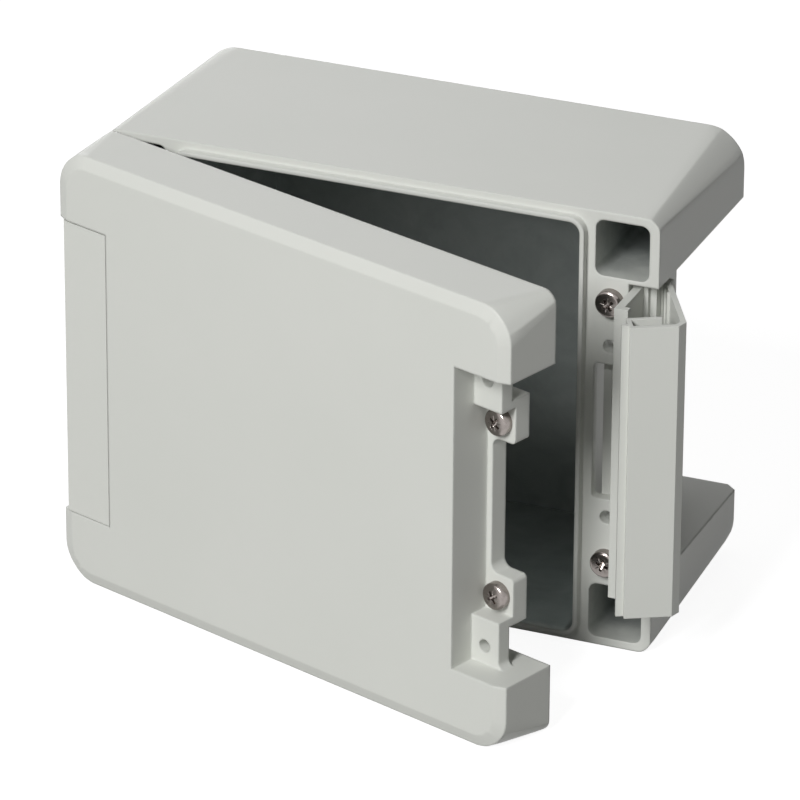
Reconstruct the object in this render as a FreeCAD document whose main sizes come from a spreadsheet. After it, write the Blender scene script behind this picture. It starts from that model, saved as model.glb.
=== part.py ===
# Wall-mounted die-cast aluminium enclosure, 200 x 160 x 110 mm, with a hinged lid.
# The lid swings on a pin hinge at the left end; the right end has a rail that
# carries a swinging cover strip over the lid's closing screws. A fixed strip of
# the same section covers the hinge side of the lid.
#
# Closed-box coordinates: x to the right, y backwards from the plane where base
# and lid meet, z upwards from the middle of the box. seat() moves every piece
# from there to the part's own frame, whose origin is the middle of the base's
# underside, and swings the lid and the strip open.
import FreeCAD, Part
import Sketcher
import math
import os

os.makedirs("parts", exist_ok=True)
doc = FreeCAD.newDocument("enclosure")
V = FreeCAD.Vector

SIZES = [
    # overall
    ("width", 200.0), ("height", 160.0), ("base_depth", 86.0), ("lid_depth", 24.0),
    ("parting_gap", 0.2), ("edge_radius", 5.2), ("face_radius", 14.0),
    ("base_round", 6.0), ("lid_round", 4.8),
    # inside of the base and its sealing rim
    ("end_depth", 27.1), ("long_wall", 4.35), ("cavity_corner", 4.0),
    ("base_floor", 3.5), ("rim_height", 3.1), ("rim_wall", 1.6),
    ("boss_inset_across", 17.9), ("boss_inset_up", 15.65), ("boss_size", 9.0),
    ("boss_height", 7.0), ("boss_bore", 3.3), ("boss_bore_depth", 8.0),
    # the narrowed ends: end blocks, flange, corner pockets
    ("side_wall", 2.5), ("waist_round", 3.0), ("block_height", 24.6), ("flange_inset", 10.6), ("flange_thickness", 4.0),
    ("pocket_wall", 2.1), ("corner_wall", 3.5), ("block_wall", 1.6), ("pocket_roof", 3.0),
    ("pocket_corner", 3.0), ("pocket_depth", 60.0), ("head_bore", 12.5), ("pocket_floor", 6.0),
    ("wall_hole", 6.4), ("wall_hole_inset", 13.0),
    ("head_gap", 1.05), ("rail_screw_inset", 5.1), ("closing_screw_inset", 6.4),
    ("clearance_bore", 5.5), ("closing_bore", 4.8),
    ("slot_inner_wall", 2.3), ("slot_outer_wall", 3.2), ("slot_inset", 6.6), ("slot_corner", 1.6),
    # lid
    ("lid_face", 3.0), ("groove_play", 0.9), ("groove_depth", 5.4), ("groove_wall", 1.5),
    ("end_play", 0.7), ("pad_front", 7.0), ("pad_reach", 7.1), ("pad_round", 1.6),
    ("web_thickness", 2.3), ("web_round", 3.2), ("side_round", 2.6), ("lug_front", 14.0), ("lug_back", 8.8),
    ("lug_wall", 3.0), ("lug_reach", 7.1), ("lug_round", 2.0), ("lug_hole", 4.6),
    ("head_play", 0.4), ("lid_pocket_floor", 7.8), ("lid_pocket_roof", 3.0), ("gasket_gap", 0.2),
    # extruded strips and rails
    ("strip_play", 1.5), ("tongue_gap", 0.9), ("tongue_width", 2.5), ("strip_flush", 0.2),
    ("strip_wall", 1.9), ("strip_setback", 2.0), ("strip_chamfer", 2.9), ("side_flush", 0.1),
    ("lip_inset", 0.3), ("lip_web", 1.6), ("lip_short", 2.4), ("lip_play", 0.4), ("lip_thickness", 1.6),
    ("rail_play", 0.6), ("rail_wall", 2.9), ("foot_reach", 2.0), ("foot_rise", 1.2),
    ("foot_thickness", 2.5), ("plate_margin", 1.0), ("plate_thickness", 2.5),
    ("rib_reach", 1.7), ("rib_rise", 1.7), ("leg_rib", 0.9), ("leg_rib_place", 6.0),
    ("arm_inset", 3.0), ("arm_wall", 2.4), ("drill_groove", 1.0), ("drill_groove_depth", 0.6),
    ("bead_back", 5.5), ("bead_radius", 1.25), ("neck_half", 0.65),
    ("neck_reach", 2.7), ("socket_play", 0.2), ("socket_wall", 1.0),
    ("mouth_from", -128.0), ("mouth_to", 45.0),
    # hinge
    ("pivot_out", 0.3), ("pivot_front", 0.1), ("knuckle_radius", 2.3), ("pin_radius", 1.2),
    ("pin_play", 0.05), ("knuckle_gap", 0.4), ("knuckle_inner", 10.0), ("knuckle_end", 21.2),
    ("knuckle_relief", 0.4), ("leaf_out", 0.9), ("leaf_wall", 2.1), ("leaf_thickness", 2.0),
    ("leaf_play", 0.4), ("leaf_web", 2.4), ("web_gap", 0.5),
    # M5 pan-head screws
    ("screw_head", 9.5), ("screw_head_height", 3.7), ("screw_crown", 1.3), ("head_flat", 6.6),
    ("screw_shank", 3.8), ("recess_span", 4.6), ("recess_slot", 1.1), ("recess_depth", 2.0),
    ("rail_screw_length", 9.0), ("closing_screw_length", 12.0), ("leaf_screw_length", 8.4),
    # how far things stand open
    ("lid_open", 19.1), ("strip_open", 29.0),
]

sheet = doc.addObject("Spreadsheet::Sheet", "dims")
for row, (alias, number) in enumerate(SIZES, 1):
    sheet.set("A%d" % row, alias)
    sheet.set("B%d" % row, str(number))
    sheet.setAlias("B%d" % row, alias)
doc.recompute()


class Size:
    """A length together with the formula over the sheet's cells that gives it."""

    def __init__(self, value, text):
        self.value, self.text = value, text

    def _with(self, other, sign, value, swap=False):
        a, b = (other.text, self.text) if swap else (self.text, other.text)
        return Size(value, "(%s %s %s)" % (a, sign, b))

    def __add__(self, other):
        other = size(other)
        return self._with(other, "+", self.value + other.value)

    def __sub__(self, other):
        other = size(other)
        return self._with(other, "-", self.value - other.value)

    def __rsub__(self, other):
        return size(other) - self

    def __mul__(self, other):
        other = size(other)
        return self._with(other, "*", self.value * other.value)

    def __truediv__(self, other):
        other = size(other)
        return self._with(other, "/", self.value / other.value)

    def __neg__(self):
        return Size(-self.value, "(0 - %s)" % self.text)

    __radd__, __rmul__ = __add__, __mul__


def size(number):
    return number if isinstance(number, Size) else Size(float(number), "%.10g" % number)


class Sizes:
    """The sheet's cells by name, as Size values."""

    def __getattr__(self, alias):
        return Size(float(getattr(sheet, alias)), "dims." + alias)


d = Sizes()


def bind(obj, path, amount):
    amount = size(amount)
    obj.setExpression(path, amount.text)


def new_body(name):
    body = doc.addObject("PartDesign::Body", name)
    body.Label = name
    return body


def sketch_on(body, role, name, offset):
    """A sketch on the body's plane of that role, moved along the plane's normal."""
    sketch = body.newObject("Sketcher::SketchObject", name)
    plane = [f for f in body.Origin.OriginFeatures if f.Role == role][0]
    sketch.AttachmentSupport = [(plane, "")]
    sketch.MapMode = "FlatFace"
    sketch.AttachmentOffset = FreeCAD.Placement(V(0, 0, size(offset).value), FreeCAD.Rotation())
    bind(sketch, "AttachmentOffset.Base.z", offset)
    return sketch


def upright(body, name, y):
    """A sketch seen from the front, at depth y; its normal points forwards."""
    return sketch_on(body, "XZ_Plane", name, -size(y))


def plan(body, name, z=0):
    """A sketch seen from above, at height z."""
    return sketch_on(body, "XY_Plane", name, z)


def fix_point(sketch, geo, point, x, y):
    for kind, amount in (("DistanceX", x), ("DistanceY", y)):
        amount = size(amount)
        index = sketch.addConstraint(Sketcher.Constraint(kind, -1, 1, geo, point, amount.value))
        if "dims." in amount.text:
            sketch.setExpression("Constraints[%d]" % index, amount.text)


def outline(sketch, points):
    """A closed polygon through the given corners."""
    corners = [(size(x), size(y)) for x, y in points]
    lines = []
    for (ax, ay), (bx, by) in zip(corners, corners[1:] + corners[:1]):
        a, b = V(ax.value, ay.value, 0), V(bx.value, by.value, 0)
        lines.append(sketch.addGeometry(Part.LineSegment(a, b), False))
    for here, after in zip(lines, lines[1:] + lines[:1]):
        sketch.addConstraint(Sketcher.Constraint("Coincident", here, 2, after, 1))
    for line, (x, y) in zip(lines, corners):
        fix_point(sketch, line, 1, x, y)


def box_outline(sketch, x0, x1, y0, y1):
    outline(sketch, [(x0, y0), (x1, y0), (x1, y1), (x0, y1)])


def round_outline(sketch, x0, x1, y0, y1, radius):
    """A rectangle with rounded corners, each arc fixed by its centre and radius."""
    x0, x1, y0, y1, radius = [size(k) for k in (x0, x1, y0, y1, radius)]
    centres = [(x1 - radius, y1 - radius), (x0 + radius, y1 - radius),
               (x0 + radius, y0 + radius), (x1 - radius, y0 + radius)]
    arcs = []
    for k, (cx, cy) in enumerate(centres):
        circle = Part.Circle(V(cx.value, cy.value, 0), V(0, 0, 1), radius.value)
        start = k * math.pi / 2
        arcs.append(sketch.addGeometry(Part.ArcOfCircle(circle, start, start + math.pi / 2), False))
    for k in range(4):
        here, after = arcs[k], arcs[(k + 1) % 4]
        a = sketch.getPoint(here, 2)
        b = sketch.getPoint(after, 1)
        line = sketch.addGeometry(Part.LineSegment(a, b), False)
        sketch.addConstraint(Sketcher.Constraint("Tangent", here, 2, line, 1))
        sketch.addConstraint(Sketcher.Constraint("Tangent", line, 2, after, 1))
    for k, (cx, cy) in enumerate(centres):
        fix_point(sketch, arcs[k], 3, cx, cy)
        index = sketch.addConstraint(Sketcher.Constraint("Radius", arcs[k], radius.value))
        sketch.setExpression("Constraints[%d]" % index, radius.text)


def circle(sketch, x, y, radius):
    x, y, radius = size(x), size(y), size(radius)
    geo = sketch.addGeometry(Part.Circle(V(x.value, y.value, 0), V(0, 0, 1), radius.value), False)
    fix_point(sketch, geo, 3, x, y)
    index = sketch.addConstraint(Sketcher.Constraint("Radius", geo, radius.value))
    sketch.setExpression("Constraints[%d]" % index, radius.text)


def swept(body, kind, name, sketch, length, reverse=False, both=False):
    """Pad or Pocket of a sketch; both ways from the sketch if asked."""
    feature = body.newObject("PartDesign::" + kind, name)
    feature.Profile = sketch
    bind(feature, "Length", length)
    feature.Reversed = reverse
    if both:
        feature.SideType = "Symmetric"
    sketch.Visibility = False
    doc.recompute()
    return feature


def pad(body, name, sketch, length, reverse=False, both=False):
    return swept(body, "Pad", name, sketch, length, reverse, both)


def pocket(body, name, sketch, length, reverse=False, both=False):
    before = body.Shape.Volume
    feature = swept(body, "Pocket", name, sketch, length, reverse, both)
    if not body.Shape.Volume < before - 1e-6:
        raise RuntimeError(name + " removes nothing")
    return feature


def root(amount):
    """Square root of a size."""
    amount = size(amount)
    return Size(math.sqrt(amount.value), "sqrt(%s)" % amount.text)


def corner_tool(name, side, level, near, depth, away):
    """What a tapering rounded corner takes off a box: a square wedge less the cone
    that touches both sides of the box. The cone's tip lies on the box's edge."""
    slope = (d.face_radius - d.edge_radius) / depth
    wedge = doc.addObject("Part::Wedge", name + "_wedge")
    sections = {"near": d.edge_radius, "far": d.face_radius}
    low, high = ("near", "far") if away > 0 else ("far", "near")
    bind(wedge, "Ymin", near if away > 0 else near - depth)
    bind(wedge, "Ymax", near + depth if away > 0 else near)
    for end, x_names, z_names in ((low, ("Xmin", "Xmax"), ("Zmin", "Zmax")),
                                  (high, ("X2min", "X2max"), ("Z2min", "Z2max"))):
        reach = sections[end]
        xs = both_ways(half_width - reach, half_width, side)
        zs = both_ways(half_height - reach, half_height, level)
        for names, span in ((x_names, xs), (z_names, zs)):
            for label, amount in zip(names, span):
                bind(wedge, label, amount)
    tip = d.edge_radius / slope
    start, stop = tip * 0.6, (tip + depth) * 1.3
    length = root(slope * slope * 2 + 1)
    spread = length * slope / root(slope * slope + 1)
    cone = doc.addObject("Part::Cone", name + "_cone")
    bind(cone, "Radius1", start * spread)
    bind(cone, "Radius2", stop * spread)
    bind(cone, "Height", (stop - start) * length)
    axis = V(-side * slope.value, away, -level * slope.value)
    cone.Placement = FreeCAD.Placement(V(0, 0, 0), FreeCAD.Rotation(V(-side, 0, -level), V(0, 0, 0), axis, "ZXY"))
    bind(cone, "Placement.Base.x", (half_width - start * slope) * side)
    bind(cone, "Placement.Base.y", near + (start - tip) * away)
    bind(cone, "Placement.Base.z", (half_height - start * slope) * level)
    tool = doc.addObject("Part::Cut", name)
    tool.Base, tool.Tool = wedge, cone
    return tool


def rounded_block(name, depth, near, away, face_round):
    """A box whose four edges along y are rounded with a radius that grows from the
    parting plane to the far face, and whose far face has a rounded rim."""
    near, depth = size(near), size(depth)
    block = doc.addObject("Part::Box", name + "_block")
    bind(block, "Length", d.width)
    bind(block, "Width", depth)
    bind(block, "Height", d.height)
    bind(block, "Placement.Base.x", -half_width)
    bind(block, "Placement.Base.y", near if away > 0 else near - depth)
    bind(block, "Placement.Base.z", -half_height)
    tools = doc.addObject("Part::MultiFuse", name + "_corner_tools")
    tools.Shapes = [corner_tool("%s_corner_%d" % (name, k), side, level, near, depth, away)
                    for k, (side, level) in enumerate(((1, 1), (1, -1), (-1, 1), (-1, -1)))]
    corners = doc.addObject("Part::Cut", name + "_corners")
    corners.Base, corners.Tool = block, tools
    doc.recompute()
    far = near.value + away * depth.value
    rims = []
    for k, edge in enumerate(corners.Shape.Edges):
        y_values = [v.Point.y for v in edge.Vertexes]
        if max(abs(y - far) for y in y_values) < 1e-4:
            rims.append((k + 1, face_round.value, face_round.value))
    rounded = doc.addObject("Part::Fillet", name + "_form")
    rounded.Base = corners
    rounded.Edges = rims
    doc.recompute()
    if not rounded.Shape.isValid():
        raise RuntimeError(name + " has an unsound outer form")
    return rounded


def round_edges(body, name, radius, chosen):
    """Rounds those edges of the body so far for which chosen(edge) is true."""
    base = body.Tip
    names = ["Edge%d" % (k + 1) for k, edge in enumerate(base.Shape.Edges) if chosen(edge)]
    if not names:
        raise RuntimeError(name + " finds no edge")
    feature = body.newObject("PartDesign::Fillet", name)
    feature.Base = (base, names)
    bind(feature, "Radius", radius)
    doc.recompute()
    if not body.Shape.isValid():
        raise RuntimeError(name + " makes an unsound shape")
    return feature


def stands_at(edge, x, z, low, high):
    """True for an edge along y at |x|, |z| that lies between the depths low and high."""
    box = edge.BoundBox
    return (box.XLength < 1e-4 and box.ZLength < 1e-4 and box.YLength > 1e-3
            and abs(abs(box.XMin) - size(x).value) < 1e-3 and abs(abs(box.ZMin) - size(z).value) < 1e-3
            and box.YMin > size(low).value - 1e-3 and box.YMax < size(high).value + 1e-3)


def seat(obj, x=0, y=0, z=0, turn=None, about=(0, 0)):
    """Puts a piece at x, y, z of the closed box, then turns it about an upright axis."""
    x, y, z = size(x), size(y), size(z)
    if turn is None:
        px, py = x, y
    else:
        turn = size(turn)
        angle = math.radians(turn.value)
        cosine = Size(math.cos(angle), "cos(%s)" % turn.text)
        sine = Size(math.sin(angle), "sin(%s)" % turn.text)
        ax, ay = size(about[0]), size(about[1])
        px = ax + cosine * (x - ax) - sine * (y - ay)
        py = ay + sine * (x - ax) + cosine * (y - ay)
        obj.Placement = FreeCAD.Placement(V(0, 0, 0), FreeCAD.Rotation(V(0, 0, 1), turn.value))
        obj.setExpression("Placement.Rotation.Angle", turn.text)
    bind(obj, "Placement.Base.x", px)
    bind(obj, "Placement.Base.y", py - d.base_depth / 2)
    bind(obj, "Placement.Base.z", z + d.height / 2)


# Places and spans that several pieces share, measured from the middle of the box.
# Across: from the ends and from the cavity's wall inwards or outwards
half_width, half_height = d.width / 2, d.height / 2
lid_back, lid_front = -d.parting_gap, -d.lid_depth
cavity_width, cavity_height = d.width - 2 * d.end_depth, d.height - 2 * d.long_wall
rim_x, rim_z = cavity_width / 2 + d.rim_wall, cavity_height / 2 + d.rim_wall
waist = cavity_width / 2 + d.side_wall
flange_edge = half_width - d.flange_inset
pocket_inner, pocket_outer = waist + d.pocket_wall, half_width - d.corner_wall
end_cut = pocket_inner
screw_line = end_cut + d.head_gap + d.screw_head / 2
slot_inner, slot_outer = waist + d.slot_inner_wall, flange_edge - d.slot_outer_wall
wall_hole_x, wall_hole_z = half_width - d.wall_hole_inset, half_height - d.wall_hole_inset
boss_x, boss_z = cavity_width / 2 - d.boss_inset_across, cavity_height / 2 - d.boss_inset_up
# Up: from the end blocks towards the middle
block_line = half_height - d.block_height
pocket_low, pocket_high = block_line + d.block_wall, half_height - d.pocket_roof
end_half = block_line - d.end_play
strip_half = end_half - d.strip_play
rail_screw_z = strip_half - d.rail_screw_inset
lug_hollow = rail_screw_z - d.lug_reach
lug_low = lug_hollow - d.lug_wall
closing_screw_z = lug_low - d.closing_screw_inset
pad_low = closing_screw_z - d.pad_reach
slot_half = closing_screw_z - d.slot_inset
leaf_half = lug_low - d.leaf_play
knuckle_outer = strip_half - d.knuckle_end
# Rails and strips
plate_inner = screw_line - d.closing_bore / 2 - d.plate_margin
plate_back = d.flange_thickness + d.plate_thickness
rail_inner = flange_edge + d.rail_play
rail_outer = rail_inner + d.rail_wall
rail_foot, rail_front = rail_outer + d.foot_reach, d.lug_front + d.foot_rise
arm_outer = half_width - d.arm_inset
strip_tongue = end_cut + d.tongue_gap
strip_step = strip_tongue + d.tongue_width
strip_front, strip_side = d.lid_depth - d.strip_flush, half_width - d.side_flush
lip_inner, lip_end, lip_back = strip_step - d.lip_inset, rail_foot - d.lip_short, rail_front + d.lip_play
bead_x, bead_y = strip_side - d.bead_radius, plate_back + d.bead_back
ring_radius = d.bead_radius + d.socket_play + d.socket_wall
mitre = math.tan(math.radians(22.5))
hinge_x, hinge_y = -half_width - d.pivot_out, -d.pivot_front
hinge_turn, hinge_axis = -d.lid_open, (hinge_x, hinge_y)
strip_turn, strip_axis = d.strip_open, (bead_x, bead_y)
beyond = 2.0
ends = (1, -1)


def both_ways(x0, x1, side):
    """The span x0..x1 on the right end, or its mirror image on the left end."""
    return (x0, x1) if side > 0 else (-size(x1), -size(x0))


# Base: a deep tray whose corner edges open from a small radius at the front to a
# large one at the back, narrowed at both ends between four corner blocks.
base = new_body("base_shell")
base.BaseFeature = rounded_block("base", d.base_depth, 0, 1, d.base_round)
doc.recompute()

rim = upright(base, "rim_outline", 0)
round_outline(rim, -rim_x, rim_x, -rim_z, rim_z, d.cavity_corner + d.rim_wall)
pad(base, "rim", rim, d.rim_height)
cavity = upright(base, "cavity_outline", -d.rim_height)
round_outline(cavity, -cavity_width / 2, cavity_width / 2,
              -cavity_height / 2, cavity_height / 2, d.cavity_corner)
pocket(base, "cavity", cavity, d.rim_height + d.base_depth - d.base_floor)

# the waist at each end, behind the flange, and the space outside the flange
waist_cut = upright(base, "waist_outline", d.flange_thickness)
for side in ends:
    round_outline(waist_cut, *both_ways(waist, half_width + 2 * d.waist_round, side),
                  -block_line, block_line, d.waist_round)
pocket(base, "waist", waist_cut, d.base_depth)
flange_cut = upright(base, "flange_outline", -beyond)
for side in ends:
    box_outline(flange_cut, *both_ways(flange_edge, half_width + beyond, side),
                -block_line, block_line)
pocket(base, "flange_trim", flange_cut, d.flange_thickness + 2 * beyond)

# deep corner pockets; each wall-fixing hole starts with a bore for the screw's head
pockets = upright(base, "pocket_outline", 0)
head_bores = upright(base, "head_bore_outline", 0)
wall_holes = upright(base, "wall_hole_outline", 0)
for side in ends:
    for level in ends:
        round_outline(pockets, *both_ways(pocket_inner, pocket_outer, side),
                      *both_ways(pocket_low, pocket_high, level), d.pocket_corner)
        x, z = side * wall_hole_x, level * wall_hole_z
        circle(head_bores, x, z, d.head_bore / 2)
        circle(wall_holes, x, z, d.wall_hole / 2)
pocket(base, "corner_pockets", pockets, d.pocket_depth)
pocket(base, "head_bores", head_bores, d.base_depth - d.pocket_floor)
pocket(base, "wall_holes", wall_holes, d.base_depth + beyond)

# flange: rail screw holes, tapped closing holes and the long slot
flange_holes = upright(base, "flange_hole_outline", -beyond)
for side in ends:
    for level in ends:
        circle(flange_holes, side * screw_line, level * rail_screw_z, d.clearance_bore / 2)
        circle(flange_holes, side * screw_line, level * closing_screw_z, d.closing_bore / 2)
    round_outline(flange_holes, *both_ways(slot_inner, slot_outer, side),
                  -slot_half, slot_half, d.slot_corner)
pocket(base, "flange_holes", flange_holes, beyond + d.flange_thickness + 0.5)

# bosses on the floor for a mounting plate, with blind tapped holes
bosses = upright(base, "boss_outline", d.base_depth - d.base_floor - d.boss_height)
for side in ends:
    for level in ends:
        circle(bosses, side * boss_x, level * boss_z, d.boss_size / 2)
pad(base, "bosses", bosses, d.boss_height + d.base_floor / 2, reverse=True)
boss_holes = upright(base, "boss_hole_outline", d.base_depth - d.base_floor - d.boss_height - beyond)
for side in ends:
    for level in ends:
        circle(boss_holes, side * boss_x, level * boss_z, d.boss_bore / 2)
pocket(base, "boss_holes", boss_holes, beyond + d.boss_bore_depth)
seat(base)

# Lid: a shallow cover of the same outline, cut away at both ends between its
# corner blocks. Screw pads and lugs stand in the cut, a groove inside takes the rim.
lid = new_body("lid_shell")
lid.BaseFeature = rounded_block("lid", d.lid_depth - d.parting_gap, lid_back, -1, d.lid_round)
doc.recompute()

groove_in_x = cavity_width / 2 - d.groove_play
groove_in_z = cavity_height / 2 - d.groove_play
groove_out_x, groove_out_z = rim_x + d.groove_play, rim_z + d.groove_play
inner_x, inner_z = groove_in_x - d.groove_wall, groove_in_z - d.groove_wall
inside = upright(lid, "lid_inside_outline", lid_back + beyond)
round_outline(inside, -inner_x, inner_x, -inner_z, inner_z, d.cavity_corner)
pocket(lid, "lid_inside", inside, beyond - lid_back - lid_front - d.lid_face + 2 * lid_back, reverse=True)
groove = upright(lid, "groove_outline", lid_back)
groove_corner = d.cavity_corner + d.rim_wall + d.groove_play
round_outline(groove, -groove_out_x, groove_out_x, -groove_out_z, groove_out_z, groove_corner)
round_outline(groove, -groove_in_x, groove_in_x, -groove_in_z, groove_in_z,
              d.cavity_corner - d.groove_play)
pocket(lid, "groove", groove, d.groove_depth, reverse=True)

end_space = upright(lid, "end_cut_outline", lid_front - beyond)
for side in ends:
    box_outline(end_space, *both_ways(end_cut, half_width + beyond, side),
                -end_half, end_half)
pocket(lid, "end_cut", end_space, d.lid_depth + beyond - d.lug_front)
pad_cut = upright(lid, "pad_cut_outline", -d.lug_front - beyond)
for side in ends:
    box_outline(pad_cut, *both_ways(end_cut, half_width + beyond, side), -lug_low, lug_low)
pocket(lid, "pad_cut", pad_cut, beyond + d.lug_front - d.pad_front)
side_cut = upright(lid, "side_cut_outline", -d.lug_front - beyond)
for side in ends:
    round_outline(side_cut, *both_ways(flange_edge, half_width + 2 * d.side_round, side),
                  -end_half, end_half, d.side_round)
pocket(lid, "side_cut", side_cut, d.lug_front + 2 * beyond)
notch = upright(lid, "notch_outline", -d.pad_front - beyond)
for side in ends:
    round_outline(notch, *both_ways(end_cut + d.web_thickness, half_width + 2 * d.web_round, side),
                  -pad_low, pad_low, d.web_round)
pocket(lid, "notch", notch, d.pad_front + 2 * beyond)
round_edges(lid, "pad_corners", d.pad_round,
            lambda edge: stands_at(edge, flange_edge, pad_low, -d.pad_front, lid_back))
hollow = upright(lid, "lug_hollow_outline", -d.lug_back)
for side in ends:
    for level in ends:
        round_outline(hollow, *both_ways(end_cut + d.web_thickness, half_width + 2 * d.lug_round, side),
                      *both_ways(lug_hollow, end_half, level), d.lug_round)
pocket(lid, "lug_hollow", hollow, d.lug_back + beyond)
reliefs = upright(lid, "head_relief_outline", -d.screw_head_height - 2 * d.head_play)
for side in ends:
    for level in ends:
        circle(reliefs, side * screw_line, level * rail_screw_z, d.screw_head / 2 + d.head_play)
pocket(lid, "head_reliefs", reliefs, d.screw_head_height + 2 * d.head_play + beyond)
lid_holes = upright(lid, "lid_hole_outline", -d.lug_front - beyond)
for side in ends:
    for level in ends:
        circle(lid_holes, side * screw_line, level * closing_screw_z, d.clearance_bore / 2)
        circle(lid_holes, side * screw_line, level * rail_screw_z, d.lug_hole / 2)
pocket(lid, "lid_holes", lid_holes, d.lug_front + 2 * beyond)
lid_pockets = upright(lid, "lid_pocket_outline", lid_back)
for side in ends:
    for level in ends:
        round_outline(lid_pockets, *both_ways(pocket_inner + d.side_wall, pocket_outer, side),
                      *both_ways(pocket_low, pocket_high - d.lid_pocket_roof, level), d.pocket_corner)
pocket(lid, "lid_pockets", lid_pockets, d.lid_depth - d.parting_gap - d.lid_pocket_floor, reverse=True)
seat(lid, turn=hinge_turn, about=hinge_axis)

# Seal that lies in the lid's groove in front of the rim
gasket = new_body("lid_gasket")
ring = upright(gasket, "gasket_outline", -d.rim_height - d.gasket_gap)
round_outline(ring, -groove_out_x, groove_out_x, -groove_out_z, groove_out_z, groove_corner)
round_outline(ring, -groove_in_x, groove_in_x, -groove_in_z, groove_in_z,
              d.cavity_corner - d.groove_play)
pad(gasket, "gasket_ring", ring, d.groove_depth + d.parting_gap - d.rim_height - d.gasket_gap)
seat(gasket, turn=hinge_turn, about=hinge_axis)


def plate_holes(body, name, side, y, depth, rows, bore):
    """Round holes on the screw line of one end, at the given heights."""
    holes = upright(body, name + "_outline", y)
    for up in rows:
        for level in ends:
            circle(holes, side * screw_line, level * up, bore / 2)
    pocket(body, name, holes, depth)


# Fixed rail on the right end: a plate behind the flange, a wall that runs forwards
# past the flange's edge to a foot, and an arm to the socket that the strip swings in.
rail = new_body("latch_rail")
section = plan(rail, "rail_section")
arm_in = arm_outer - d.arm_wall
outline(section, [
    (plate_inner, d.flange_thickness), (screw_line - d.drill_groove / 2, d.flange_thickness),
    (screw_line, d.flange_thickness + d.drill_groove_depth),
    (screw_line + d.drill_groove / 2, d.flange_thickness),
    (rail_inner, d.flange_thickness), (rail_inner, -rail_front),
    (rail_foot, -rail_front), (rail_foot, -rail_front + d.foot_thickness),
    (rail_outer, -rail_front + d.foot_thickness), (rail_outer, plate_back - d.rib_rise),
    (rail_outer + d.rib_reach, plate_back - d.rib_rise), (rail_outer + d.rib_reach, plate_back),
    (arm_outer, plate_back), (arm_outer, bead_y + d.bead_radius),
    (arm_in, bead_y + d.bead_radius), (arm_in, plate_back + d.arm_wall),
    (rail_inner, plate_back + d.arm_wall), (rail_inner, plate_back),
    (plate_inner, plate_back)])
pad(rail, "rail_form", section, 2 * strip_half, both=True)
socket = plan(rail, "socket_ring")
circle(socket, bead_x, bead_y, ring_radius)
pad(rail, "socket", socket, 2 * strip_half, both=True)
bore = plan(rail, "socket_bore_outline")
circle(bore, bead_x, bead_y, d.bead_radius + d.socket_play)
pocket(rail, "socket_bore", bore, 2 * strip_half + beyond, both=True)
mouth = plan(rail, "socket_mouth_outline")
reach = ring_radius + 2 * d.socket_play
fan = [math.radians((d.mouth_from + (d.mouth_to - d.mouth_from) * k / 6).value) for k in range(7)]
outline(mouth, [(bead_x, bead_y)] +
        [(bead_x + reach * math.cos(a), bead_y + reach * math.sin(a)) for a in fan])
pocket(rail, "socket_mouth", mouth, 2 * strip_half + beyond, both=True)
plate_holes(rail, "rail_holes", 1, d.flange_thickness - 0.5, d.plate_thickness + 1,
            (rail_screw_z, closing_screw_z), d.closing_bore)
seat(rail)


def strip_points(side, leg):
    """Section of a cover strip, tongue first, with the leg's end given by leg."""
    front, inner = -strip_front, -strip_front + d.strip_wall
    tongue = front + d.strip_setback
    lip_front = -lip_back - d.lip_thickness
    points = [
        (strip_tongue, tongue), (strip_step, tongue), (strip_step, front),
        (strip_side - d.strip_chamfer, front), (strip_side, front + d.strip_chamfer)] + leg + [
        (strip_side - d.strip_wall, front + d.strip_chamfer + d.strip_wall * mitre),
        (strip_side - d.strip_chamfer - d.strip_wall * mitre, inner),
        (lip_inner + d.lip_web, inner), (lip_inner + d.lip_web, lip_front),
        (lip_end, lip_front), (lip_end, -lip_back), (lip_inner, -lip_back),
        (lip_inner, tongue + d.lip_web), (strip_tongue, tongue + d.lip_web)]
    return [(x if side > 0 else -size(x), y) for x, y in points]


# Swinging cover strip of the right end, with a bead along the end of its leg
strip = new_body("latch_strip")
section = plan(strip, "latch_strip_section")
neck = bead_y - d.neck_reach
leg_inner, rib = strip_side - d.strip_wall, neck - d.leg_rib_place
outline(section, strip_points(1, [
    (strip_side, neck), (bead_x + d.neck_half, neck), (bead_x + d.neck_half, bead_y),
    (bead_x - d.neck_half, bead_y), (leg_inner, neck),
    (leg_inner, rib), (leg_inner - d.leg_rib, rib),
    (leg_inner - d.leg_rib, rib - d.leg_rib), (leg_inner, rib - d.leg_rib)]))
pad(strip, "latch_strip_form", section, 2 * strip_half, both=True)
bead = plan(strip, "bead_outline")
circle(bead, bead_x, bead_y, d.bead_radius)
pad(strip, "bead", bead, 2 * strip_half, both=True)
seat(strip, turn=strip_turn, about=strip_axis)

# Fixed cover strip of the hinge end; its leg stands on the lid's hinge leaf
web_front = hinge_y - d.knuckle_radius - d.web_gap
fixed = new_body("hinge_strip")
section = plan(fixed, "hinge_strip_section")
outline(section, strip_points(-1, [
    (strip_side, web_front), (strip_side - d.strip_wall, web_front)]))
pad(fixed, "hinge_strip_form", section, 2 * strip_half, both=True)
seat(fixed, turn=hinge_turn, about=hinge_axis)

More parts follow.
